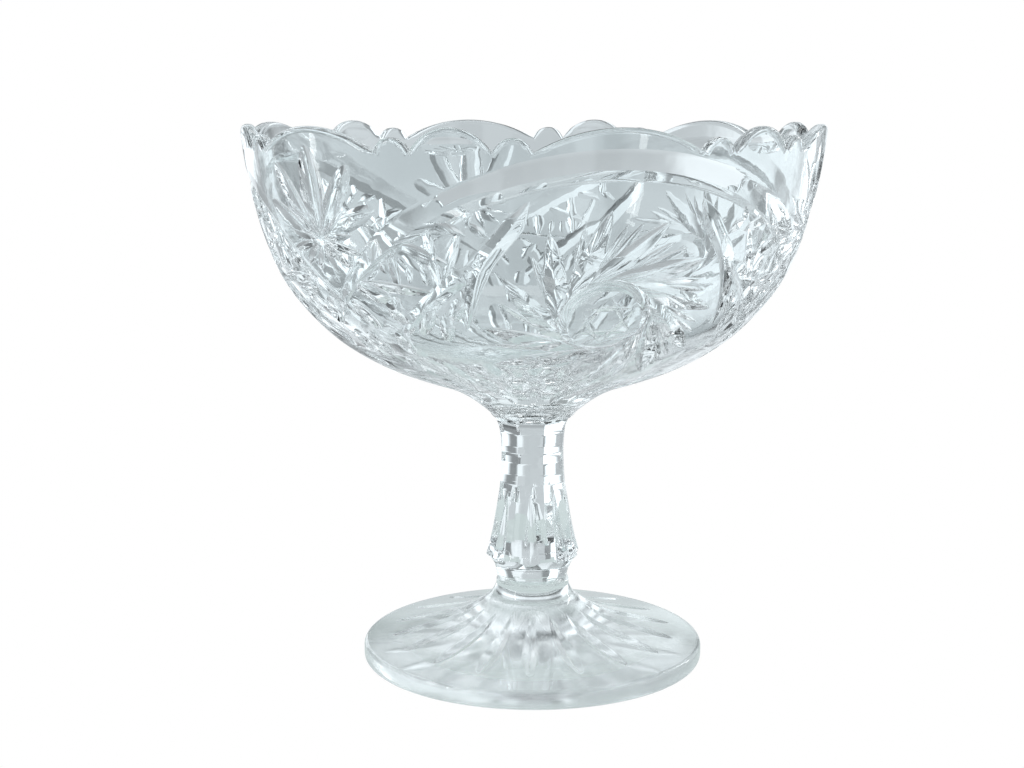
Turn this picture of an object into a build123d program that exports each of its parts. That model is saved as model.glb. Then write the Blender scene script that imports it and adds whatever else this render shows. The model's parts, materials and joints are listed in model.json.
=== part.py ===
from build123d import *
import os
from math import radians, tan

# Stemmed cut-crystal serving bowl: three pieces of clear glass, fused hot, face to face.
# A deep bowl with a scalloped rim, an eight-sided stem with a knop, and a petal foot.
# Millimetres, +Z up, origin on the resting plane under the centre of the foot.
# The first of the three pinwheels of the cut pattern faces -Y.

os.makedirs("parts", exist_ok=True)

# ---- driving dimensions -------------------------------------------------------------
rim_radius = 125.0            # outside, at the crests of the rim
total_height = 237.5          # resting plane to the crests of the rim
foot_radius = 75.8

bowl_joint_height = 112.0     # where the bowl's round flare meets the stem
bowl_joint_radius = 19.6
foot_joint_height = 33.0      # where the stem meets the foot's round flare
foot_joint_radius = 16.2

seam_angle = 10.0             # where the turned surfaces close, clear of every cut's end

# ---- bowl ---------------------------------------------------------------------------
rim_wall = 5.6
floor_height = 130.5          # the inside floor of the bowl, on the axis
outer_side = [
    (26.2, 117.2), (34.4, 122.1), (51.3, 128.2), (66.2, 134.3), (86.0, 146.5),
    (98.4, 158.7), (107.4, 170.9), (113.2, 183.1), (120.5, 207.5), (124.3, 230.0),
]
inner_side = [
    (30.0, 132.6), (62.6, 141.6), (81.6, 152.2), (93.3, 163.2), (101.8, 174.3),
    (107.5, 185.5), (114.8, 208.8),
]

# ---- rim: six tall wide scallops, six tall narrow ones, twelve low lobes between -------
scallop_pitch = 60.0
valley_mid = scallop_pitch / 4
wide_half_angle = 15.47
lobe_half_angle = 3.55
notch_height = 228.6
lobe_height = 233.8
rim_clearance = 6.0           # how far a rim cutter stands above the crests

# ---- arch bands: one plane cut over each of the three pinwheels -----------------------
arch_count = 3
arch_tilt = 37.2              # degrees from horizontal
arch_front_height = 221.6     # lower edge of the band, straight over a pinwheel
arch_width = 5.2
arch_depth = 1.2
arch_lowest = 172.0           # the band fades out under the fans

# ---- stem ---------------------------------------------------------------------------
facet_count = 8
facet_turn = -19.3            # degrees from the first pinwheel to the nearest facet
facet_reach = 16.0            # half width of a facet cutter, more than half a facet
facet_step_height = 111.4     # where the long facets end, in a step just below the bowl
stem_outline = [
    (16.9, 108.0), (15.2, 103.0), (14.55, 95.0), (14.65, 88.0), (15.1, 80.6),
    (16.2, 73.2), (17.1, 67.1), (18.3, 61.0), (19.4, 55.0), (21.3, 47.6),
]
stem_undercut = [(17.2, 42.6), (16.3, 38.0)]
facet_outline = [
    (16.0, 109.4), (14.6, 106.0), (13.9, 101.5), (13.45, 95.0), (13.55, 88.0),
    (13.95, 80.6), (14.95, 73.2), (16.0, 67.1), (17.0, 61.0), (18.3, 55.0), (20.4, 47.0),
]
waist_facet = [(20.4, 43.6), (16.4, 41.4), (15.1, 37.4), (15.1, 35.6), (17.4, 33.8)]

# ---- foot ---------------------------------------------------------------------------
foot_edge_height = 8.5        # where the foot's slope turns into its rounded edge
foot_edge_drop = 2.9          # height of the turn
foot_edge_rounding = 2.6
rest_ring_outer = foot_radius - foot_edge_rounding
rest_ring_inner = 58.0
recess_height = 4.0
petal_count = 18
petal_turn = 3.5              # degrees from the first pinwheel to the nearest mitre
mitre_middle = (48.0, 14.4)   # on the foot's top, where the wheel cuts deepest
mitre_slope = 15.5            # how steeply the foot's top falls there, in degrees
mitre_depth = 1.8
mitre_wheel_radius = 110.0
mitre_wheel_sweep = 26.0
mitre_edge = 4.0              # half width and height of the wheel's edge


def facing(angle):
    """Unit vector pointing outwards at an angle turned from -Y towards +X."""
    return Vector(0, -1, 0).rotate(Axis.Z, angle)


def radial_plane(angle):
    """Plane through the axis: local x points outwards, local y is up."""
    outwards = facing(angle)
    return Plane(origin=(0, 0, 0), x_dir=outwards, z_dir=outwards.rotate(Axis.Z, -90))


def tangent_plane(angle, distance):
    """Plane square to a radius: local x follows the rim, local y is up."""
    outwards = facing(angle)
    return Plane(origin=outwards * distance, x_dir=outwards.rotate(Axis.Z, 90), z_dir=outwards)


def rim_valley(angle, distance, side):
    """Outline above the rim from a wide crest to a narrow one, over the low lobe between."""
    def along(turn):
        return side * distance * tan(radians(turn - valley_mid))

    narrow_start = wide_half_angle + 2 * lobe_half_angle
    wide_crest = (along(0), total_height)
    wide_notch = (along(wide_half_angle), notch_height)
    lobe_crest = (along(wide_half_angle + lobe_half_angle), lobe_height)
    narrow_notch = (along(narrow_start), notch_height)
    narrow_crest = (along(2 * valley_mid), total_height)
    top = total_height + rim_clearance
    with BuildSketch(tangent_plane(angle, distance)) as valley:
        with BuildLine():
            TangentArc(wide_crest, wide_notch, tangent=(side, 0))
            ThreePointArc(wide_notch, lobe_crest, narrow_notch)
            TangentArc(narrow_crest, narrow_notch, tangent=(-side, 0))
            Polyline(narrow_crest, (along(2 * valley_mid), top), (along(0), top), wide_crest)
        make_face()
    return valley.sketch


# One arch band: a tilted slab, hollowed to leave the depth of the cut on the outside.
with BuildPart() as arch_band:
    arch_plane = Plane(
        origin=(0, -rim_radius, arch_front_height),
        x_dir=(1, 0, 0),
        z_dir=Vector(0, 0, 1).rotate(Axis.X, -arch_tilt),
    )
    with BuildSketch(arch_plane):
        Circle(2.2 * rim_radius)
    extrude(amount=arch_width)
    with BuildSketch(radial_plane(seam_angle)):
        with BuildLine():
            core_points = [(radius - arch_depth, level) for radius, level in outer_side[4:]]
            core_side = Spline(*core_points, (rim_radius - arch_depth, total_height + rim_clearance))
            Polyline(core_side @ 1, (0, total_height + rim_clearance), (0, core_points[0][1]),
                     core_side @ 0)
        make_face()
    revolve(axis=Axis.Z, mode=Mode.SUBTRACT)
    with BuildSketch(Plane.XY.offset(arch_lowest)):
        Circle(2 * rim_radius)
    extrude(amount=total_height, mode=Mode.INTERSECT)

with BuildPart() as bowl:
    with BuildSketch(radial_plane(seam_angle)):
        with BuildLine():
            outside = Spline(
                (bowl_joint_radius, bowl_joint_height), *outer_side, (rim_radius, total_height)
            )
            inside = Spline(
                (0, floor_height), *inner_side, (rim_radius - rim_wall, total_height),
                tangents=[(1, 0), (0.22, 1)],
            )
            Line(outside @ 1, inside @ 1)
            Polyline(inside @ 0, (0, bowl_joint_height), outside @ 0)
        make_face()
    revolve(axis=Axis.Z)
    for pitch in range(int(360 / scallop_pitch)):
        for side in (-1, 1):
            valley_angle = pitch * scallop_pitch + side * valley_mid
            loft(
                [
                    rim_valley(valley_angle, 0.8 * rim_radius, side),
                    rim_valley(valley_angle, 1.1 * rim_radius, side),
                ],
                ruled=True,
                mode=Mode.SUBTRACT,
            )
    for arch in range(arch_count):
        add(arch_band.part, rotation=(0, 0, arch * 360 / arch_count), mode=Mode.SUBTRACT)
bowl.part.label = "bowl"
export_step(bowl.part, "parts/bowl.step")


# The stem is turned round first, then eight long facets and eight short ones are cut.
with BuildPart() as stem:
    with BuildSketch(radial_plane(seam_angle)):
        with BuildLine():
            shaft = Spline((bowl_joint_radius, bowl_joint_height), *stem_outline)
            undercut = Spline(
                shaft @ 1, *stem_undercut, (foot_joint_radius, foot_joint_height),
                tangents=[(-1, -0.8), (0.05, -1)],
            )
            Polyline(undercut @ 1, (0, foot_joint_height), (0, bowl_joint_height), shaft @ 0)
        make_face()
    revolve(axis=Axis.Z)
    clear_radius = 1.6 * stem_outline[-1][0]
    for facet in range(facet_count):
        facet_plane = radial_plane(facet_turn + facet * 360 / facet_count)
        with BuildSketch(facet_plane):
            with BuildLine():
                step = Line((clear_radius, facet_step_height), (bowl_joint_radius, facet_step_height))
                Line(step @ 1, facet_outline[0])
                face_line = Spline(*facet_outline)
                Polyline(face_line @ 1, (clear_radius, facet_outline[-1][1]), step @ 0)
            make_face()
        extrude(amount=facet_reach, both=True, mode=Mode.SUBTRACT)
        with BuildSketch(facet_plane):
            with BuildLine():
                Polyline(*waist_facet, (clear_radius, waist_facet[-1][1]),
                         (clear_radius, waist_facet[0][1]), close=True)
            make_face()
        extrude(amount=facet_reach, both=True, mode=Mode.SUBTRACT)
stem.part.label = "stem"
export_step(stem.part, "parts/stem.step")


# One radial mitre of the foot: the sharp edge of a cutting wheel rolled into the slope.
mitre_plane = radial_plane(petal_turn)
wheel_axle = -mitre_plane.z_dir
wheel_radial = Vector(0, 0, 1).rotate(Axis((0, 0, 0), wheel_axle), mitre_slope)
wheel_centre = (
    mitre_plane.from_local_coords(mitre_middle)
    + wheel_radial * (mitre_wheel_radius - mitre_depth)
)
wheel_start = wheel_axle.cross(wheel_radial).rotate(Axis((0, 0, 0), wheel_axle), -0.5 * mitre_wheel_sweep)
with BuildPart() as mitre:
    with BuildSketch(Plane(origin=wheel_centre, x_dir=wheel_axle, z_dir=wheel_start)):
        with BuildLine():
            Polyline((0, -mitre_wheel_radius), (mitre_edge, mitre_edge - mitre_wheel_radius),
                     (-mitre_edge, mitre_edge - mitre_wheel_radius), close=True)
        make_face()
    revolve(axis=Axis(wheel_centre, wheel_axle), revolution_arc=mitre_wheel_sweep)

# The foot is a low cone with a rounded edge, mitred into petals, hollow underneath.
with BuildPart() as foot:
    with BuildSketch(radial_plane(seam_angle)):
        with BuildLine():
            flare = Spline(
                (foot_joint_radius, foot_joint_height), (18.6, 28.4), (23.4, 24.4), (30.5, 20.1),
                (42.7, 15.9), (rest_ring_outer, foot_edge_height),
            )
            edge_top = TangentArc(flare @ 1, (foot_radius, foot_edge_height - foot_edge_drop),
                                  tangent=flare % 1)
            edge_low = Line(edge_top @ 1, (foot_radius, foot_edge_rounding))
            edge_base = TangentArc(edge_low @ 1, (rest_ring_outer, 0), tangent=(0, -1))
            ring = Line(edge_base @ 1, (rest_ring_inner, 0))
            recess = TangentArc((0, recess_height), ring @ 1, tangent=(1, 0))
            Polyline(recess @ 0, (0, foot_joint_height), flare @ 0)
        make_face()
    revolve(axis=Axis.Z)
    for petal in range(petal_count):
        add(mitre.part, rotation=(0, 0, petal * 360 / petal_count), mode=Mode.SUBTRACT)
foot.part.label = "foot"
export_step(foot.part, "parts/foot.step")
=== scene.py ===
"""Stemmed cut-crystal bowl: the looks.

Each piece is a turned blank, as dense as its curves need, and the cut pattern is real
geometry: every mitre, flute and thumbprint is a closed cutter that follows the surface,
and all of them are taken out of the blank at once.  Lengths are in millimetres until a
mesh is made.  A place on a piece is an angle round the axis, in degrees from -Y towards
+X, and a run along the turned outline.
"""
import math

import bmesh
import bpy
import numpy as np
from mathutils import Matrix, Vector
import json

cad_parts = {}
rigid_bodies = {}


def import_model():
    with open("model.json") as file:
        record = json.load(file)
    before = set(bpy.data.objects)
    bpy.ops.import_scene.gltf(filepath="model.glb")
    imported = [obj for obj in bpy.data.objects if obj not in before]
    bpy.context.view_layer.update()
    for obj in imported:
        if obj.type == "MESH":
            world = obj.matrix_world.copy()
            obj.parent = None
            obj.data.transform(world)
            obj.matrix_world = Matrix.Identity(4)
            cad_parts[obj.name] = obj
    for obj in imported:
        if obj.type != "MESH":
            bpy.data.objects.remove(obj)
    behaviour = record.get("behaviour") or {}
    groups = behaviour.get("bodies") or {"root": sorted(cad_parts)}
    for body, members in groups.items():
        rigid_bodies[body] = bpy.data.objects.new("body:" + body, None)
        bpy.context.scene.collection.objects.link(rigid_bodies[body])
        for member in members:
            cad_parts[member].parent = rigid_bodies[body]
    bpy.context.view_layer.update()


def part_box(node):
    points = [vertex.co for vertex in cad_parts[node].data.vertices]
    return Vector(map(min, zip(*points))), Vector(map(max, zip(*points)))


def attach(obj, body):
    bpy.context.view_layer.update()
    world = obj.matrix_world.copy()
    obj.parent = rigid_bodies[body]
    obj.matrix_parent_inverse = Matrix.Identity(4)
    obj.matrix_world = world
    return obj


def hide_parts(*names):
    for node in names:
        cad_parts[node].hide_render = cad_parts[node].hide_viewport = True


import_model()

MM = 0.001
RIM_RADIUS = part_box("bowl")[1][0] / MM
TOTAL_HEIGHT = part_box("bowl")[1][2] / MM
BOWL_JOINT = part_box("stem")[1][2] / MM
FOOT_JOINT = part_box("stem")[0][2] / MM
FOOT_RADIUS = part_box("foot")[1][0] / MM
BOWL_JOINT_RADIUS = 19.6
FOOT_JOINT_RADIUS = 16.2
RIM_WALL = 5.6
FLOOR_HEIGHT = 130.5          # of the bowl's inside, on the axis
FOOT_EDGE_ROUNDING = 2.6
FOOT_EDGE_HEIGHT = 8.5        # where the foot's slope turns into its rounded edge
REST_RING_INNER = 58.0
REST_RING_MIDDLE = 66.0
RECESS_HEIGHT = 4.0

# ---- turned outlines: (radius, height) ------------------------------------------------
BOWL_OUTSIDE = [
    (BOWL_JOINT_RADIUS, BOWL_JOINT), (26.2, 117.2), (34.4, 122.1), (51.3, 128.2), (66.2, 134.3),
    (86.0, 146.5), (98.4, 158.7), (107.4, 170.9), (113.2, 183.1), (120.5, 207.5),
    (124.3, 230.0), (RIM_RADIUS, TOTAL_HEIGHT),
]
BOWL_INSIDE = [
    (0.0, FLOOR_HEIGHT), (30.0, 132.6), (62.6, 141.6), (81.6, 152.2), (93.3, 163.2), (101.8, 174.3),
    (107.5, 185.5), (114.8, 208.8), (RIM_RADIUS - RIM_WALL, TOTAL_HEIGHT),
]
STEM_BLANK = [
    (BOWL_JOINT_RADIUS, BOWL_JOINT), (16.9, 108.0), (15.2, 103.0), (14.55, 95.0), (14.65, 88.0),
    (15.1, 80.6), (16.2, 73.2), (17.1, 67.1), (18.3, 61.0), (19.4, 55.0), (21.3, 47.6),
]
STEM_UNDERCUT = [(21.3, 47.6), (17.2, 42.6), (16.3, 38.0), (FOOT_JOINT_RADIUS, FOOT_JOINT)]
STEM_FACET = [
    (19.9, 111.6), (16.0, 109.4), (14.6, 106.0), (13.9, 101.5), (13.45, 95.0), (13.55, 88.0),
    (13.95, 80.6), (14.95, 73.2), (16.0, 67.1), (17.0, 61.0), (18.3, 55.0), (20.4, 47.0),
]
STEM_FLARE = [
    (14.2, 79.0), (14.95, 73.2), (16.0, 67.1), (17.0, 61.0), (18.3, 55.0), (20.4, 46.0),
]
STEM_WAIST_FACET = [(20.4, 43.6), (16.4, 41.4), (15.1, 37.4), (15.1, 35.6), (17.4, 33.8)]
FOOT_TOP = [
    (FOOT_JOINT_RADIUS, FOOT_JOINT), (18.6, 28.4), (23.4, 24.4), (30.5, 20.1), (42.7, 15.9),
    (FOOT_RADIUS - FOOT_EDGE_ROUNDING, FOOT_EDGE_HEIGHT),
]

# ---- rim ------------------------------------------------------------------------------
RIM_REPEAT = 60.0
WIDE_HALF = 15.47
LOBE_HALF = 3.55
NOTCH_HEIGHT = 228.6
LOBE_HEIGHT = 233.8
EDGE_ROUNDING = 2.2

# ---- cut pattern ----------------------------------------------------------------------
PATTERN_REPEAT = 120.0
CLEARANCE = 1.0               # how far a cutter stands out of the glass
V_HALF_ANGLE = 52.0           # of an ordinary mitre wheel
BOTTOM_ROUND = 0.2            # fire polish at the bottom of a cut
SHOULDER = 0.12               # and where it meets the surface
RUN_OUT = 0.12                # how far a leaf-shaped cut starts and ends above the surface


# =========================================================== outlines and surfaces =====
def smooth_line(points, step=0.5):
    """Evenly spaced points of a natural cubic spline through a few points."""
    knots = np.array(points, float)
    place = np.concatenate([[0.0], np.cumsum(np.linalg.norm(np.diff(knots, axis=0), axis=1))])
    gap = np.diff(place)
    slope = np.diff(knots, axis=0) / gap[:, None]
    count = len(place)
    system = np.eye(count)
    wanted = np.zeros((count, 2))
    for i in range(1, count - 1):
        system[i, i - 1:i + 2] = gap[i - 1], 2 * (gap[i - 1] + gap[i]), gap[i]
        wanted[i] = 6 * (slope[i] - slope[i - 1])
    bend = np.linalg.solve(system, wanted)
    fine = np.linspace(0, place[-1], 40 * count)
    span = np.clip(np.searchsorted(place, fine, side="right") - 1, 0, count - 2)
    h = gap[span, None]
    a = (place[span + 1] - fine)[:, None] / h
    b = 1 - a
    curve = (a * knots[span] + b * knots[span + 1]
             + ((a ** 3 - a) * bend[span] + (b ** 3 - b) * bend[span + 1]) * h ** 2 / 6)
    run = np.concatenate([[0.0], np.cumsum(np.linalg.norm(np.diff(curve, axis=0), axis=1))])
    even = np.linspace(0, run[-1], max(2, round(run[-1] / step) + 1))
    return np.column_stack([np.interp(even, run, curve[:, k]) for k in (0, 1)])


class Turned:
    """A turned surface; side is +1 where the glass lies to the right of the outline."""

    def __init__(self, points, side=1):
        self.line = smooth_line(points)
        self.step = np.linalg.norm(self.line[1] - self.line[0])
        self.length = self.step * (len(self.line) - 1)
        self.run = np.linspace(0, self.length, len(self.line))
        along = np.gradient(self.line, axis=0)
        along /= np.linalg.norm(along, axis=1)[:, None]
        self.out = side * np.column_stack([along[:, 1], -along[:, 0]])

    def at(self, run):
        """Radius and height at a run."""
        return tuple(np.interp(run, self.run, self.line[:, k]) for k in (0, 1))

    def run_at(self, height):
        """The run at which the outline has a height."""
        heights = self.line[:, 1]
        if heights[0] > heights[-1]:
            return float(np.interp(-height, -heights, self.run))
        return float(np.interp(height, heights, self.run))

    def point(self, angle, run):
        radius, height = self.at(run)
        turn = math.radians(angle)
        return np.array([radius * math.sin(turn), -radius * math.cos(turn), height])

    def normal(self, angle, run):
        out_r, out_z = (np.interp(run, self.run, self.out[:, k]) for k in (0, 1))
        turn = math.radians(angle)
        return np.array([out_r * math.sin(turn), -out_r * math.cos(turn), out_z])


bowl_outside = Turned(BOWL_OUTSIDE)
bowl_inside = Turned(BOWL_INSIDE, side=-1)
foot_top = Turned(FOOT_TOP, side=-1)
stem_flare = Turned(STEM_FLARE, side=-1)


class Motif:
    """A flat drawing laid on a turned surface: x follows the rim and y the outline."""

    def __init__(self, surface, angle, height, across=1):
        self.surface = surface
        self.angle = angle
        self.run = surface.run_at(height)
        self.across = across

    def place(self, x, y):
        """(angle, run) of a point of the drawing."""
        run = self.run + y
        radius = self.surface.at(run)[0]
        return self.angle + self.across * math.degrees(x / radius), run

    def places(self, points):
        return [self.place(x, y) for x, y in points]


# ================================================================ cutters ==============
cutters = bpy.data.collections.new("cutters")
bpy.context.scene.collection.children.link(cutters)


def groove_section(depth, slopes):
    """A groove with a rounded bottom, a slope on each side, and soft shoulders."""
    firm = min(1.0, max(0.0, 2 * depth))
    shoulder = SHOULDER * firm
    section = []
    for side, slope in zip((-1, 1), slopes):
        width = max(depth, 0.0) / slope
        half = []
        for across in (0.3 * width, 0.75 * width, width + 0.1, width + 0.5, width + 1.2):
            rise = slope * (math.hypot(across, BOTTOM_ROUND) - BOTTOM_ROUND)
            below = depth - rise
            out = -0.5 * (below + math.hypot(below, shoulder)) + 0.1 * (1 - firm)
            half.append((side * across, out))
        half.append((half[-1][0] + side * 0.1, CLEARANCE))
        section.append(half)
    bottom = -0.5 * (depth + math.hypot(depth, shoulder)) + 0.1 * (1 - firm)
    return section[0][::-1] + [(0.0, bottom)] + section[1]


def mitre_section(depth, half_angle=V_HALF_ANGLE):
    """The groove of a wheel with a V-shaped edge."""
    slope = 1 / math.tan(math.radians(half_angle))
    return groove_section(depth, (slope, slope))


def hollow_section(depth, wheel, count=8):
    """A round-bottomed hollow from a wheel whose edge has the given radius."""
    spread = math.sqrt(2 * wheel * (depth + CLEARANCE))
    across = np.linspace(-spread, spread, count + 1)
    return [(a, a * a / (2 * wheel) - depth) for a in across]


def leaf(t, peak=0.5):
    """Depth of a leaf-shaped cut along its length, 1 where it is deepest."""
    a = 2 * peak
    b = 2 - a
    return (t ** a) * ((1 - t) ** b) / ((peak ** a) * ((1 - peak) ** b))


def add_cutter(rings, closed=False):
    """A closed solid through rings of points, kept in the cutters' collection."""
    rings = np.array(rings) * MM
    count, width = rings.shape[:2]
    faces = []
    for i in range(count if closed else count - 1):
        here, there = i * width, ((i + 1) % count) * width
        for j in range(width):
            k = (j + 1) % width
            faces.append((here + j, here + k, there + k, there + j))
    if not closed:
        faces.append(tuple(reversed(range(width))))
        faces.append(tuple(range((count - 1) * width, count * width)))
    mesh = bpy.data.meshes.new("cutter")
    mesh.from_pydata(rings.reshape(-1, 3).tolist(), [], faces)
    shape = bmesh.new()
    shape.from_mesh(mesh)
    bmesh.ops.triangulate(shape, faces=shape.faces)
    if shape.calc_volume(signed=True) < 0:
        bmesh.ops.reverse_faces(shape, faces=shape.faces)
    shape.to_mesh(mesh)
    shape.free()
    cutter = bpy.data.objects.new("cutter", mesh)
    cutters.objects.link(cutter)


def cut_along(surface, places, section_at, closed=False):
    """Sweeps section_at(t) along places, a list of (angle, run), on a turned surface."""
    points = np.array([surface.point(*place) for place in places])
    normals = np.array([surface.normal(*place) for place in places])
    if closed:
        along = np.roll(points, -1, axis=0) - np.roll(points, 1, axis=0)
    else:
        along = np.gradient(points, axis=0)
    across = np.cross(normals, along)
    across /= np.linalg.norm(across, axis=1)[:, None]
    rings = []
    for i, (point, normal, side) in enumerate(zip(points, normals, across)):
        section = section_at(i / (len(points) - (0 if closed else 1)))
        rings.append([point + side * a + normal * out for a, out in section])
    add_cutter(rings, closed)


def line_places(motif, start, end, bow=0.0, count=None):
    """(angle, run) places along a line of the drawing, bowed sideways by a length."""
    start, end = np.array(start, float), np.array(end, float)
    length = np.linalg.norm(end - start)
    side = np.array([start[1] - end[1], end[0] - start[0]]) / length
    count = count or max(7, round(length / 3.0))
    drawn = []
    for t in np.linspace(0, 1, count):
        drawn.append(start + (end - start) * t + side * bow * 4 * t * (1 - t))
    return motif.places(drawn)


def mitre(motif, start, end, depth, peak=0.5, half_angle=V_HALF_ANGLE, bow=0.0):
    """A leaf-shaped V cut between two points of a drawing."""
    def section_at(t):
        return mitre_section(depth * leaf(t, peak) - RUN_OUT, half_angle)

    cut_along(motif.surface, line_places(motif, start, end, bow), section_at)


def hollow(motif, start, end, depth, wheel, peak=0.5, bow=0.0):
    """A round-bottomed olive between two points of a drawing."""
    def section_at(t):
        return hollow_section(depth * leaf(t, peak) - RUN_OUT, wheel)

    cut_along(motif.surface, line_places(motif, start, end, bow), section_at)


def polar(radius, angle):
    """A point of a drawing, at an angle clockwise from straight up."""
    turn = math.radians(angle)
    return np.array([radius * math.sin(turn), radius * math.cos(turn)])


# ------------------------------------------------------------ the bowl's pattern -------
WIDE_ANGLE = 62.0             # half angle of the large mitre wheel

PINWHEEL_HEIGHT = 164.4
RING_RADIUS = 18.0
BUTTON_RADIUS = 14.4
RING_DEPTH = 2.0
RING_OUTER_WALL = 1.2
STAR_RADIUS = 12.4
STAR_DEPTH = 0.9
VANE_COUNT = 12
VANE_DEPTH = 2.5
VANE_TURN = 18.5
VANE_START = -7.0
VANE_REACH = 44.0
SLIVER_START = 15.0
SLIVER_DEPTH = 1.0
SLIVERS = ((12.0, 38.0), (19.0, 40.0))      # (turn from the vane, reach)
SLIVERS_TO = 150.0            # heading of the last vane with all its slivers


def pinwheel(angle):
    """A button with a star, in a bevelled ring, with mitres leaving the ring's tangents."""
    motif = Motif(bowl_outside, angle, PINWHEEL_HEIGHT)
    around = [polar(RING_RADIUS, a) for a in np.arange(0, 360, 6.0)]
    width = RING_RADIUS - BUTTON_RADIUS
    bevel = groove_section(RING_DEPTH, (RING_DEPTH / width, RING_DEPTH / RING_OUTER_WALL))
    cut_along(bowl_outside, motif.places(around), lambda t: bevel, closed=True)
    for corner in range(6):
        start = polar(STAR_RADIUS, corner * 60)
        end = polar(STAR_RADIUS, corner * 60 + 120)
        mitre(motif, start, end, STAR_DEPTH)
    for vane in range(VANE_COUNT):
        heading = VANE_TURN + vane * 360 / VANE_COUNT
        vane_from_ring(motif, heading, VANE_START, VANE_REACH, VANE_DEPTH, 0.52, WIDE_ANGLE)
        for turn, reach in SLIVERS if heading < SLIVERS_TO else SLIVERS[-1:]:
            vane_from_ring(motif, heading + turn, SLIVER_START, reach, SLIVER_DEPTH, 0.55,
                           V_HALF_ANGLE)


def vane_from_ring(motif, heading, start, reach, depth, peak, half_angle):
    """A straight mitre that leaves the ring along its tangent, clockwise."""
    tangent_point = polar(RING_RADIUS, heading - 90)
    way = polar(1.0, heading)
    mitre(motif, tangent_point + way * start, tangent_point + way * reach, depth, peak,
          half_angle)


FAN_HEIGHT = 194.0
# Olives as (turn, start, reach, wheel, depth) and mitres as (turn, start, reach, depth).
FAN_OLIVES = ((0.0, 1.0, 37.5, 9.5, 2.0), (37.0, 4.0, 38.0, 7.0, 1.7),
              (66.0, 6.0, 35.0, 5.0, 1.6))
FAN_MITRES = ((9.0, 1.0, 17.0, 0.9), (27.0, 1.0, 18.0, 0.9), (45.0, 1.0, 17.0, 0.9),
              (74.0, 1.0, 15.0, 0.9), (17.0, 2.0, 24.0, 1.4), (53.0, 2.0, 22.0, 1.3),
              (82.0, 2.0, 19.0, 1.4), (104.0, 2.0, 24.0, 1.4), (130.0, 1.0, 19.0, 1.7),
              (158.0, 2.0, 15.0, 1.4))
# Ovals below the fan, as (start, end, depth), drawn for one side.
FAN_OVALS = (((11.0, -17.0), (27.0, -25.0), 1.7), ((25.0, -23.0), (31.0, -40.0), 1.7),
             ((6.0, -25.0), (14.0, -40.0), 1.7), ((22.0, -40.0), (17.0, -56.0), 1.6),
             ((3.5, -42.0), (6.0, -58.0), 1.6), ((14.0, -58.0), (10.0, -72.0), 1.4))
FAN_OVAL_WHEEL = 6.5


def fan(angle):
    """Olives spreading upwards from one point, with mitres between and below them."""
    motif = Motif(bowl_outside, angle, FAN_HEIGHT)
    for turn, start, reach, wheel, depth in FAN_OLIVES:
        for side in ((-1, 1) if turn else (1,)):
            way = polar(1.0, side * turn)
            hollow(motif, way * start, way * reach, depth, wheel, 0.55)
    for turn, start, reach, depth in FAN_MITRES:
        for side in (-1, 1):
            way = polar(1.0, side * turn)
            mitre(motif, way * start, way * reach, depth, 0.4)
    for side in (-1, 1):
        for (x0, y0), (x1, y1), depth in FAN_OVALS:
            hollow(motif, (side * x0, y0), (side * x1, y1), depth, FAN_OVAL_WHEEL)


ARCH_FRONT = 221.6            # height of the deepest line, straight over a pinwheel
ARCH_FALL = 0.76              # how steeply the plane of the wheel falls away from the front
ARCH_REACH = 68.0
ARCH_DEPTH = 2.6
ARCH_LOWER_WALL = 3.6
ARCH_UPPER_WALL = 9.0


def arch_places(angle):
    """The line where the tilted plane of the wheel meets the bowl."""
    front_radius = bowl_outside.at(bowl_outside.run_at(ARCH_FRONT))[0]
    places = []
    for turn in np.linspace(-ARCH_REACH, ARCH_REACH, 69):
        run = bowl_outside.run_at(ARCH_FRONT)
        for _ in range(30):
            nearness = bowl_outside.at(run)[0] * math.cos(math.radians(turn))
            run = bowl_outside.run_at(ARCH_FRONT - ARCH_FALL * (front_radius - nearness))
        places.append((angle + turn, run))
    return places


def arch_band(angle):
    """A plane cut over a pinwheel, with a wide upper wall and a narrow lower one."""
    slopes = (ARCH_DEPTH / ARCH_LOWER_WALL, ARCH_DEPTH / ARCH_UPPER_WALL)

    def section_at(t):
        depth = ARCH_DEPTH * min(1.0, 5 * t, 5 * (1 - t)) - 0.1
        return groove_section(depth, slopes)

    cut_along(bowl_outside, arch_places(angle), section_at)


STAR_ANGLE = 37.5
STAR_HEIGHT = 190.5
# Mitres between the arch band and a pinwheel, as (start, end, depth), drawn for the left.
STAR_LINES = (
    ((-13.0, 6.5), (16.0, -6.0), 1.7), ((-31.0, -13.0), (7.0, -16.8), 1.7),
    ((4.5, 15.0), (7.5, -17.0), 1.7), ((-12.0, 5.0), (-10.5, -17.0), 1.7),
    ((3.5, 14.0), (21.0, 7.5), 1.6), ((19.0, 12.0), (8.0, -14.0), 1.3),
    ((1.0, 11.0), (-22.0, -9.0), 1.3), ((21.5, 19.0), (21.8, 11.0), 1.2),
    ((21.0, 13.0), (29.0, 7.0), 1.2), ((-4.0, -4.0), (-5.0, -13.0), 1.0),
)
STAR_OLIVES = (((2.0, -3.5), (3.5, -13.5), 1.4), ((-17.0, 0.0), (-14.0, -9.0), 1.3))
STAR_LINE_ANGLE = 57.0        # half angle of the wheel that cuts them
OLIVE_WHEEL = 3.6
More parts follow.
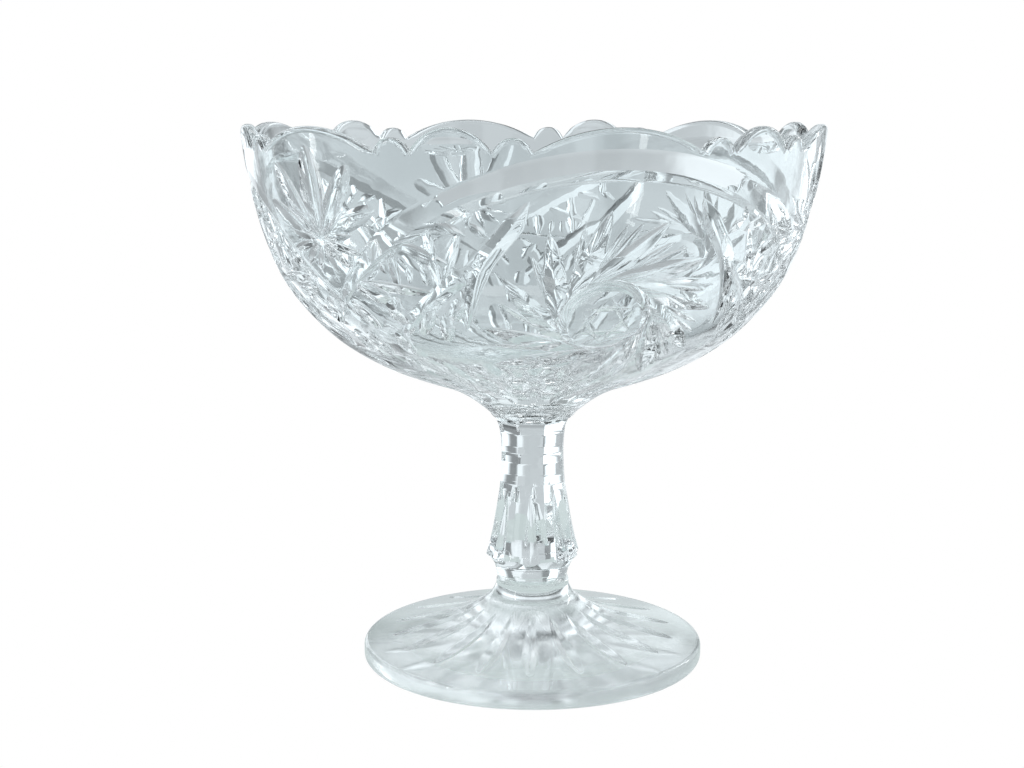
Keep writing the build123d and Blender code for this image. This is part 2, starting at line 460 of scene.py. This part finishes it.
# The forked ribbon below the arch band, as points of its two branches.
RIBBONS = (((46.0, 22.5), (36.0, 9.0), (25.0, -4.0), (18.0, -20.0), (11.0, -39.0)),
           ((25.5, -3.0), (14.0, -10.5), (2.0, -21.0), (-7.0, -29.5), (-14.0, -38.0),
            (-21.0, -51.0)))
RIBBON_DEPTH = 1.9
RIBBON_ANGLE = 65.0
RIBBON_OLIVES = (((15.0, -17.5), (8.5, -30.0), 1.6), ((2.0, -22.5), (-7.0, -38.5), 1.7),
                 ((7.5, -25.0), (3.0, -42.0), 1.6), ((-12.0, -18.5), (-17.0, -31.0), 1.9),
                 ((-28.0, -16.5), (-14.0, -20.0), 1.9))


def ribbon(motif, points):
    """A long mitre along a curve of the drawing, fading out towards its end."""
    def section_at(t):
        depth = RIBBON_DEPTH * min(1.0, 6 * t, 2.2 * (1 - t)) - 0.1
        return mitre_section(depth, RIBBON_ANGLE)

    cut_along(motif.surface, motif.places(smooth_line(points, 3.0)), section_at)


def star_and_ribbon(angle, side):
    """The crossing mitres beside a pinwheel, and the forked ribbon that bounds them."""
    motif = Motif(bowl_outside, angle + side * STAR_ANGLE, STAR_HEIGHT, -side)
    for start, end, depth in STAR_LINES:
        mitre(motif, start, end, depth, half_angle=STAR_LINE_ANGLE)
    for points in RIBBONS:
        ribbon(motif, points)
    for start, end, depth in STAR_OLIVES + RIBBON_OLIVES:
        hollow(motif, start, end, depth, OLIVE_WHEEL)


FLUTE_COUNT = 24
FLUTE_LOW = 119.0
FLUTE_HIGH = 139.0


def base_flutes():
    """Pointed flutes from the stem's flare up the floor of the bowl."""
    low = bowl_outside.run_at(FLUTE_LOW)
    high = bowl_outside.run_at(FLUTE_HIGH)
    runs = np.linspace(low, high, 16)
    for flute in range(FLUTE_COUNT):
        angle = flute * 360 / FLUTE_COUNT
        places = [(angle, run) for run in runs]

        def section_at(t):
            half = bowl_outside.at(low + (high - low) * t)[0] * math.pi / FLUTE_COUNT
            depth = 0.12 * half * min(1.0, 3.0 * (1 - t) ** 0.8) * min(1.0, 5 * t + 0.1)
            return hollow_section(1.9 * depth - 0.1, 0.9 * half)

        cut_along(bowl_outside, places, section_at)


def rim_thumbprint(angle):
    """A shallow oval under a narrow scallop."""
    motif = Motif(bowl_outside, angle, 230.6)
    hollow(motif, (-12.0, 0.0), (12.0, 0.0), 1.0, 8.0)


def cut_bowl():
    """Three repeats of the pattern, six thumbprints under the rim, and the base flutes."""
    for repeat in range(3):
        front = repeat * PATTERN_REPEAT
        pinwheel(front)
        arch_band(front)
        fan(front + 0.5 * PATTERN_REPEAT)
        for side in (-1, 1):
            star_and_ribbon(front, side)
    for narrow in range(6):
        rim_thumbprint(30.0 + narrow * RIM_REPEAT)
    base_flutes()


# ================================================================== blanks =============
def rim_height(angle):
    """Height of the rim: a wide scallop, a low lobe, a narrow scallop, a low lobe."""
    turn = abs((angle + 0.5 * RIM_REPEAT) % RIM_REPEAT - 0.5 * RIM_REPEAT)

    def arc(offset, half, crest):
        w = math.radians(half) * RIM_RADIUS
        h = crest - NOTCH_HEIGHT
        bend = (w * w + h * h) / (2 * h)
        x = math.radians(offset) * RIM_RADIUS
        return crest - bend + math.sqrt(max(bend * bend - x * x, 0.0))

    if turn <= WIDE_HALF:
        return arc(turn, WIDE_HALF, TOTAL_HEIGHT)
    if turn <= WIDE_HALF + 2 * LOBE_HALF:
        return arc(turn - WIDE_HALF - LOBE_HALF, LOBE_HALF, LOBE_HEIGHT)
    narrow_half = 0.5 * RIM_REPEAT - WIDE_HALF - 2 * LOBE_HALF
    return arc(0.5 * RIM_REPEAT - turn, narrow_half, TOTAL_HEIGHT)


def rim_angles():
    """Angles of the blank's columns, closer where the rim curves, and one in each notch."""
    stops = ((0.0, WIDE_HALF, 10), (WIDE_HALF, WIDE_HALF + 2 * LOBE_HALF, 9),
             (WIDE_HALF + 2 * LOBE_HALF, 0.5 * RIM_REPEAT, 9))
    half = []
    for start, end, count in stops:
        half += list(np.linspace(start, end, count + 1)[:-1])
    whole = half + [0.5 * RIM_REPEAT] + [RIM_REPEAT - a for a in reversed(half[1:])]
    return [turn + k * RIM_REPEAT for k in range(6) for turn in whole]


def grid_mesh(name, columns, poles):
    """A closed mesh from columns of points that run from one pole to the other."""
    count, rows = len(columns), len(columns[0])
    points = [poles[0]] + [p for column in columns for p in column] + [poles[1]]
    last = len(points) - 1
    faces = []
    for i in range(count):
        here, there = 1 + i * rows, 1 + ((i + 1) % count) * rows
        faces.append((0, there, here))
        for j in range(rows - 1):
            faces.append((here + j, there + j, there + j + 1, here + j + 1))
        faces.append((here + rows - 1, there + rows - 1, last))
    mesh = bpy.data.meshes.new(name)
    mesh.from_pydata([tuple(np.array(p) * MM) for p in points], [], faces)
    shape = bmesh.new()
    shape.from_mesh(mesh)
    if shape.calc_volume(signed=True) < 0:
        bmesh.ops.reverse_faces(shape, faces=shape.faces)
    shape.to_mesh(mesh)
    shape.free()
    piece = bpy.data.objects.new(name, mesh)
    bpy.context.scene.collection.objects.link(piece)
    return piece


def bowl_blank():
    """The bowl before cutting: outside, a rounded scalloped edge, inside."""
    edge_turns = np.radians(np.linspace(0, 90, 6))
    columns = []
    for angle in rim_angles():
        top = rim_height(angle)
        slope = (rim_height(angle + 0.05) - rim_height(angle - 0.05)) / (
            math.radians(0.1) * RIM_RADIUS)
        lean = math.hypot(1.0, slope)

        def edge_point(inset, share):
            """A point inset from the rim's edge, a share of the way through the wall."""
            sideways = inset * slope / lean
            down = inset / lean
            turn = angle + math.degrees(sideways / RIM_RADIUS)
            outer = bowl_outside.point(turn, bowl_outside.run_at(top - down))
            inner = bowl_inside.point(turn, bowl_inside.run_at(top - down))
            return (1 - share) * outer + share * inner

        start = bowl_outside.run_at(top - EDGE_ROUNDING)
        runs = np.linspace(0, 1, 56)[:-1] * start
        column = [bowl_outside.point(angle, run) for run in runs]
        for turn in edge_turns:
            inset = EDGE_ROUNDING * (1 - math.sin(turn))
            column.append(edge_point(inset, EDGE_ROUNDING * (1 - math.cos(turn)) / RIM_WALL))
        for turn in edge_turns[::-1]:
            inset = EDGE_ROUNDING * (1 - math.sin(turn))
            column.append(edge_point(inset, 1 - EDGE_ROUNDING * (1 - math.cos(turn)) / RIM_WALL))
        end = bowl_inside.run_at(top - EDGE_ROUNDING)
        column += [bowl_inside.point(angle, run) for run in np.linspace(1, 0, 36)[1:-1] * end]
        columns.append(column)
    return grid_mesh("bowl_glass", columns, ((0, 0, BOWL_JOINT), (0, 0, FLOOR_HEIGHT)))


def turned_blank(name, outline, count):
    """A closed turned piece; the outline's ends are joined to the axis by flat caps."""
    columns = []
    for k in range(count):
        turn = 2 * math.pi * (k + 0.5) / count
        columns.append([(r * math.sin(turn), -r * math.cos(turn), z) for r, z in outline])
    poles = ((0, 0, outline[0][1]), (0, 0, outline[-1][1]))
    return grid_mesh(name, columns, poles)


def stem_blank():
    """The stem before its facets, from the bowl's joint down to the foot's."""
    shaft = smooth_line(STEM_BLANK, 1.2)
    undercut = smooth_line(STEM_UNDERCUT, 0.9)
    return turned_blank("stem_glass", list(shaft) + list(undercut[1:]), 144)


def cut_facet(angle, outline):
    """A flat wheel run up the stem: everything outside the outline goes."""
    turn = math.radians(angle)
    out = np.array([math.sin(turn), -math.cos(turn), 0.0])
    side = np.array([math.cos(turn), math.sin(turn), 0.0])
    up = np.array([0.0, 0.0, 1.0])
    far = 34.0
    reach = 16.0
    ring = [out * r + up * z for r, z in outline]
    ring += [out * far + up * outline[-1][1], out * far + up * outline[0][1]]
    add_cutter([[p - side * reach for p in ring], [p + side * reach for p in ring]])


FACET_COUNT = 8
FACET_TURN = -19.3
FLARE_MITRE_DEPTH = 3.1       # at its lower end
FLARE_MITRE_ANGLE = 50.0


def cut_stem():
    """Long facets, short ones at the waist, and a mitre that forks each facet's lower end."""
    long_facet = [STEM_FACET[0]] + [tuple(p) for p in smooth_line(STEM_FACET[1:], 1.5)]
    mitre_runs = np.linspace(0.0, stem_flare.length, 16)

    def section_at(t):
        return mitre_section(FLARE_MITRE_DEPTH * t - 0.05, FLARE_MITRE_ANGLE)

    for facet in range(FACET_COUNT):
        angle = FACET_TURN + facet * 360 / FACET_COUNT
        cut_facet(angle, long_facet)
        cut_facet(angle, STEM_WAIST_FACET)
        cut_along(stem_flare, [(angle, run) for run in mitre_runs], section_at)


PETAL_COUNT = 18
PETAL_TURN = 3.5
PETAL_DEPTH = 1.6
PETAL_ANGLE = 66.0            # half angle of the wheel
PETAL_PEAK = 0.62             # where along its length a mitre is deepest
PETAL_MARGIN = 9.0            # between a mitre's end and the end of the foot's slope


def foot_blank():
    """The foot before cutting: its slope, rounded edge, resting ring and hollow."""
    edge_turns = np.radians(np.linspace(0, 90, 7))
    top = [tuple(p) for p in foot_top.line[::4]]
    if np.linalg.norm(np.array(top[-1]) - foot_top.line[-1]) > 0.3:
        top.append(tuple(foot_top.line[-1]))
    rounding = FOOT_EDGE_ROUNDING
    centre = FOOT_RADIUS - rounding
    upper = []
    for turn in edge_turns[1:]:
        height = FOOT_EDGE_HEIGHT - rounding * (1 - math.cos(turn))
        upper.append((centre + rounding * math.sin(turn), height))
    lower = []
    for turn in edge_turns:
        height = rounding * (1 - math.sin(turn))
        lower.append((centre + rounding * math.cos(turn), height))
    ring = [(REST_RING_MIDDLE, 0.0), (REST_RING_INNER, 0.0)]
    recess = []
    for share in (0.95, 0.85, 0.7, 0.55, 0.4, 0.25, 0.1):
        recess.append((REST_RING_INNER * share, RECESS_HEIGHT * (1 - share * share)))
    outline = top + upper + lower + ring + recess + [(0.5, RECESS_HEIGHT)]
    return turned_blank("foot_glass", outline, 180)


def cut_foot():
    """Radial mitres that part the top of the foot into petals."""
    runs = np.linspace(PETAL_MARGIN, foot_top.length - PETAL_MARGIN, 24)

    def section_at(t):
        return mitre_section(PETAL_DEPTH * leaf(t, PETAL_PEAK) - 0.08, PETAL_ANGLE)

    for petal in range(PETAL_COUNT):
        angle = PETAL_TURN + petal * 360 / PETAL_COUNT
        cut_along(foot_top, [(angle, run) for run in runs], section_at)


# ============================================================ cutting and shading ======
def cut(blank):
    """Takes all cutters out of a blank at once and clears them away."""
    knife = blank.modifiers.new("cuts", "BOOLEAN")
    knife.operation = "DIFFERENCE"
    knife.solver = "MANIFOLD"
    knife.operand_type = "COLLECTION"
    knife.collection = cutters
    view = bpy.context.evaluated_depsgraph_get()
    mesh = bpy.data.meshes.new_from_object(blank.evaluated_get(view))
    blank.modifiers.remove(knife)
    blank.data = mesh
    for cutter in list(cutters.objects):
        bpy.data.objects.remove(cutter)


SHARP_EDGE = 26.0             # degrees between faces that meet in a crisp edge


def shade(piece, surfaces):
    """Smooth shading with crisp cuts; turned surfaces keep their true normals."""
    mesh = piece.data
    shape = bmesh.new()
    shape.from_mesh(mesh)
    limit = math.radians(SHARP_EDGE)
    for face in shape.faces:
        face.smooth = True
    for edge in shape.edges:
        edge.smooth = len(edge.link_faces) == 2 and edge.calc_face_angle(3.2) < limit
    shape.to_mesh(mesh)
    shape.free()
    count = len(mesh.loops)
    normals = np.zeros(count * 3, np.float32)
    mesh.corner_normals.foreach_get("vector", normals)
    normals = normals.reshape(-1, 3)
    points = np.zeros(len(mesh.vertices) * 3, np.float32)
    mesh.vertices.foreach_get("co", points)
    points = points.reshape(-1, 3) / MM
    at_vertex = np.zeros(count, np.int32)
    mesh.loops.foreach_get("vertex_index", at_vertex)
    starts = np.zeros(len(mesh.polygons), np.int32)
    totals = np.zeros(len(mesh.polygons), np.int32)
    face_normals = np.zeros(len(mesh.polygons) * 3, np.float32)
    mesh.polygons.foreach_get("loop_start", starts)
    mesh.polygons.foreach_get("loop_total", totals)
    mesh.polygons.foreach_get("normal", face_normals)
    face_normals = np.repeat(face_normals.reshape(-1, 3), totals, axis=0)
    corner = points[at_vertex]
    radius = np.hypot(corner[:, 0], corner[:, 1])
    outward = corner[:, :2] / np.maximum(radius, 1e-6)[:, None]
    for surface in surfaces:
        line, out = surface.line, surface.out
        near = nearest_on(line, np.column_stack([radius, corner[:, 2]]))
        gap = np.linalg.norm(line[near] - np.column_stack([radius, corner[:, 2]]), axis=1)
        true = np.column_stack([outward * out[near, :1], out[near, 1]])
        agree = (true * face_normals).sum(1)
        use = (gap < 0.3) & (agree > 0.995)
        normals[use] = true[use]
    mesh.normals_split_custom_set(normals.tolist())


def nearest_on(line, points):
    """Index of the outline's point nearest to each point, found in slices."""
    found = np.zeros(len(points), int)
    for start in range(0, len(points), 20000):
        part = points[start:start + 20000]
        gaps = ((part[:, None, :] - line[None, :, :]) ** 2).sum(2)
        found[start:start + 20000] = gaps.argmin(1)
    return found


# ================================================================ materials ============
GLASS_COLOUR = (0.93, 0.965, 0.97)
GLASS_IOR = 1.54
WAVE_LENGTH = 11.0            # of the slight unevenness in the surface
WAVE_HEIGHT = 0.05
UNDERSIDE_HEIGHT = 4.2        # the ground surface under the foot lies below this


def crystal(name, roughness):
    """Clear glass whose surface waves a little, from the fire polish or from grinding."""
    clear = bpy.data.materials.new(name)
    clear.use_nodes = True
    nodes, links = clear.node_tree.nodes, clear.node_tree.links
    shader = nodes["Principled BSDF"]
    shader.inputs["Base Color"].default_value = (*GLASS_COLOUR, 1)
    shader.inputs["Roughness"].default_value = roughness
    shader.inputs["IOR"].default_value = GLASS_IOR
    shader.inputs["Transmission Weight"].default_value = 1.0
    place = nodes.new("ShaderNodeTexCoord")
    waves = nodes.new("ShaderNodeTexNoise")
    waves.inputs["Scale"].default_value = 1 / (WAVE_LENGTH * MM)
    waves.inputs["Detail"].default_value = 2.0
    links.new(place.outputs["Object"], waves.inputs["Vector"])
    bump = nodes.new("ShaderNodeBump")
    bump.inputs["Strength"].default_value = 1.0
    bump.inputs["Distance"].default_value = WAVE_HEIGHT * MM
    links.new(waves.outputs["Fac"], bump.inputs["Height"])
    links.new(bump.outputs["Normal"], shader.inputs["Normal"])
    return clear


def joint_face():
    """Where two pieces are fused there is no surface, so light passes straight on."""
    clear = bpy.data.materials.new("fused_joint")
    clear.use_nodes = True
    nodes = clear.node_tree.nodes
    nodes.clear()
    through = nodes.new("ShaderNodeBsdfTransparent")
    out = nodes.new("ShaderNodeOutputMaterial")
    clear.node_tree.links.new(through.outputs[0], out.inputs[0])
    return clear


glass = crystal("crystal", 0.015)
ground = crystal("ground_crystal", 0.19)
fused = joint_face()


def finish_piece(piece, node, joints):
    """Materials, with the fused caps clear, and the piece's place in the frame."""
    surfaces = [glass, fused, ground]
    piece.data.materials.clear()
    for material in surfaces:
        piece.data.materials.append(material)
    for face in piece.data.polygons:
        height = face.center.z / MM
        flat = abs(face.normal.z) > 0.999
        if flat and any(abs(height - joint) < 0.02 for joint in joints):
            face.material_index = surfaces.index(fused)
        elif height < UNDERSIDE_HEIGHT and face.normal.z < -0.5:
            face.material_index = surfaces.index(ground)
        else:
            face.material_index = surfaces.index(glass)
    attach(piece, "root")
    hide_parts(node)


bowl = bowl_blank()
cut_bowl()
cut(bowl)
shade(bowl, (bowl_outside, bowl_inside))
finish_piece(bowl, "bowl", (BOWL_JOINT,))

stem = stem_blank()
cut_stem()
cut(stem)
shade(stem, ())
finish_piece(stem, "stem", (BOWL_JOINT, FOOT_JOINT))

foot = foot_blank()
cut_foot()
cut(foot)
shade(foot, (foot_top,))
finish_piece(foot, "foot", (FOOT_JOINT,))


# ============================================================ floor, light, camera =====
FLOOR_RADIUS = 0.14           # in metres, like the sizes and places of the lights
FLOOR_GAP = 0.0004            # below the foot, so that two surfaces never coincide
PAD_LEVEL = 0.69
# Steps in brightness: (axis of the place or direction, from, to, amount).
# Painted light: the floor's own glow rises a little towards the right, as if a lamp stood on that
# side.
FLOOR_PAINTED_LIGHT = (("X", 0.0, 0.1, 0.08),)
TENT_COLOUR = (0.93, 0.985, 1.02)
FLOOR_COLOUR = (0.90, 1.0, 1.0)
BACKDROP = 0.65               # straight behind the bowl
ZONES = (("X", 0.12, 0.16, 0.38), ("X", 0.34, 0.40, -0.74), ("X", 0.50, 0.60, 1.0),
         ("X", -0.14, -0.20, -0.34), ("X", -0.29, -0.35, 1.2), ("X", -0.50, -0.56, -1.05),
         ("Z", 0.05, 0.30, -0.20), ("Z", 0.30, 0.40, 0.60), ("Z", 0.55, 0.65, -0.85),
         ("Z", -0.45, -0.70, -0.32), ("Y", -0.20, -0.40, -0.28))
DARKEST = 0.05                # below this no panel of the tent goes
LIGHT_AIM = (0.0, 0.0, 0.15)
# Soft lights: (name, place, size, radiance).
SOFTBOXES = (("left", (-0.75, -0.25, 0.45), (0.05, 0.5), 5.0),
             ("right", (0.75, 0.25, 0.40), (0.05, 0.5), 5.0),
             ("top", (0.0, 0.3, 1.0), (0.6, 0.2), 2.0))
GLASS_BOUNCES = 32            # light crosses many walls of the cut pattern
GLOSSY_BOUNCES = 16
CAMERA_TURN = -14.79
CAMERA_DISTANCE = 730.0
CAMERA_HEIGHT = 247.4
CAMERA_ASIDE = -9.2
CAMERA_PITCH = 9.64
CAMERA_LENS = 58.9


def white_to_camera(nodes, links, other):
    """Pure white where the camera looks straight at it, another shader for all other rays."""
    rays = nodes.new("ShaderNodeLightPath")
    white = nodes.new("ShaderNodeEmission")
    white.inputs["Strength"].default_value = 1.0
    mix = nodes.new("ShaderNodeMixShader")
    links.new(rays.outputs["Is Camera Ray"], mix.inputs["Fac"])
    links.new(other, mix.inputs[1])
    links.new(white.outputs[0], mix.inputs[2])
    return mix.outputs[0]


def studio_axes(nodes, links, coordinates):
    """Sockets of a place or direction in the studio: X right, Y back, Z up."""
    place = nodes.new("ShaderNodeTexCoord")
    turn = nodes.new("ShaderNodeVectorRotate")
    turn.rotation_type = "Z_AXIS"
    turn.inputs["Angle"].default_value = -math.radians(CAMERA_TURN)
    links.new(place.outputs[coordinates], turn.inputs["Vector"])
    axes = nodes.new("ShaderNodeSeparateXYZ")
    links.new(turn.outputs[0], axes.inputs[0])
    return axes.outputs


def stepped(nodes, links, coordinates, level, steps):
    """A brightness that changes by an amount as an axis goes from start to end."""
    axes = studio_axes(nodes, links, coordinates)
    base = nodes.new("ShaderNodeValue")
    base.outputs[0].default_value = level
    total = base.outputs[0]
    for axis, start, end, amount in steps:
        ramp = nodes.new("ShaderNodeMapRange")
        ramp.interpolation_type = "SMOOTHSTEP"
        ramp.inputs["From Min"].default_value = start
        ramp.inputs["From Max"].default_value = end
        ramp.inputs["To Min"].default_value = 0.0
        ramp.inputs["To Max"].default_value = amount
        links.new(axes[axis], ramp.inputs["Value"])
        add = nodes.new("ShaderNodeMath")
        add.operation = "ADD"
        links.new(total, add.inputs[0])
        links.new(ramp.outputs[0], add.inputs[1])
        total = add.outputs[0]
    lifted = nodes.new("ShaderNodeMath")
    lifted.operation = "MAXIMUM"
    lifted.inputs[1].default_value = DARKEST
    links.new(total, lifted.inputs[0])
    return lifted.outputs[0]


def floor():
    """A plain pale table top that glows instead of being lit, with painted light: its glow rises a
    little towards the right.
    """
    shape = bmesh.new()
    bmesh.ops.create_circle(shape, cap_ends=True, radius=FLOOR_RADIUS, segments=96)
    mesh = bpy.data.meshes.new("floor")
    shape.to_mesh(mesh)
    shape.free()
    pale = bpy.data.materials.new("floor_pale")
    pale.use_nodes = True
    nodes, links = pale.node_tree.nodes, pale.node_tree.links
    nodes.remove(nodes["Principled BSDF"])
    # painted light: the glow steps up towards the right
    level = stepped(nodes, links, "Object", PAD_LEVEL, FLOOR_PAINTED_LIGHT)
    glow = nodes.new("ShaderNodeEmission")
    glow.inputs["Color"].default_value = (*FLOOR_COLOUR, 1)
    links.new(level, glow.inputs["Strength"])
    links.new(white_to_camera(nodes, links, glow.outputs[0]), nodes["Material Output"].inputs[0])
    mesh.materials.append(pale)
    table = bpy.data.objects.new("floor", mesh)
    table.location.z = -FLOOR_GAP
    bpy.context.scene.collection.objects.link(table)


def softbox(name, place, size, radiance):
    """A rectangular soft light, as bright to look at as its radiance says."""
    data = bpy.data.lights.new(name, "AREA")
    data.shape = "RECTANGLE"
    data.size, data.size_y = size
    data.energy = radiance * math.pi * size[0] * size[1]
    lamp = bpy.data.objects.new(name, data)
    lamp.location = place
    aim = Vector(LIGHT_AIM) - Vector(place)
    lamp.rotation_euler = aim.to_track_quat("-Z", "Y").to_euler()
    bpy.context.scene.collection.objects.link(lamp)


def surroundings():
    """A light tent: grey behind, white and dim panels at the sides, dim round the camera."""
    world = bpy.data.worlds.new("studio")
    bpy.context.scene.world = world
    world.use_nodes = True
    nodes, links = world.node_tree.nodes, world.node_tree.links
    total = stepped(nodes, links, "Generated", BACKDROP, ZONES)
    back = nodes["Background"]
    back.inputs["Color"].default_value = (*TENT_COLOUR, 1)
    links.new(total, back.inputs["Strength"])
    links.new(white_to_camera(nodes, links, back.outputs[0]), nodes["World Output"].inputs[0])


def camera():
    """A camera a little above the bowl's rim, looking slightly down."""
    data = bpy.data.cameras.new("camera")
    data.lens = CAMERA_LENS
    data.sensor_width = 36.0
    data.clip_start = 0.01
    eye = bpy.data.objects.new("camera", data)
    turn = math.radians(CAMERA_TURN)
    right = Vector((math.cos(turn), math.sin(turn), 0))
    back = Vector((math.sin(turn), -math.cos(turn), 0))
    eye.location = (right * CAMERA_ASIDE + back * CAMERA_DISTANCE) * MM
    eye.location.z = CAMERA_HEIGHT * MM
    eye.rotation_euler = (math.radians(90 - CAMERA_PITCH), 0, turn)
    bpy.context.scene.collection.objects.link(eye)
    bpy.context.scene.camera = eye


floor()
surroundings()
for box_light in SOFTBOXES:
    softbox(*box_light)
camera()
bpy.context.scene.view_settings.view_transform = "Standard"
bpy.context.scene.cycles.max_bounces = GLASS_BOUNCES
bpy.context.scene.cycles.transmission_bounces = GLASS_BOUNCES
bpy.context.scene.cycles.glossy_bounces = GLOSSY_BOUNCES
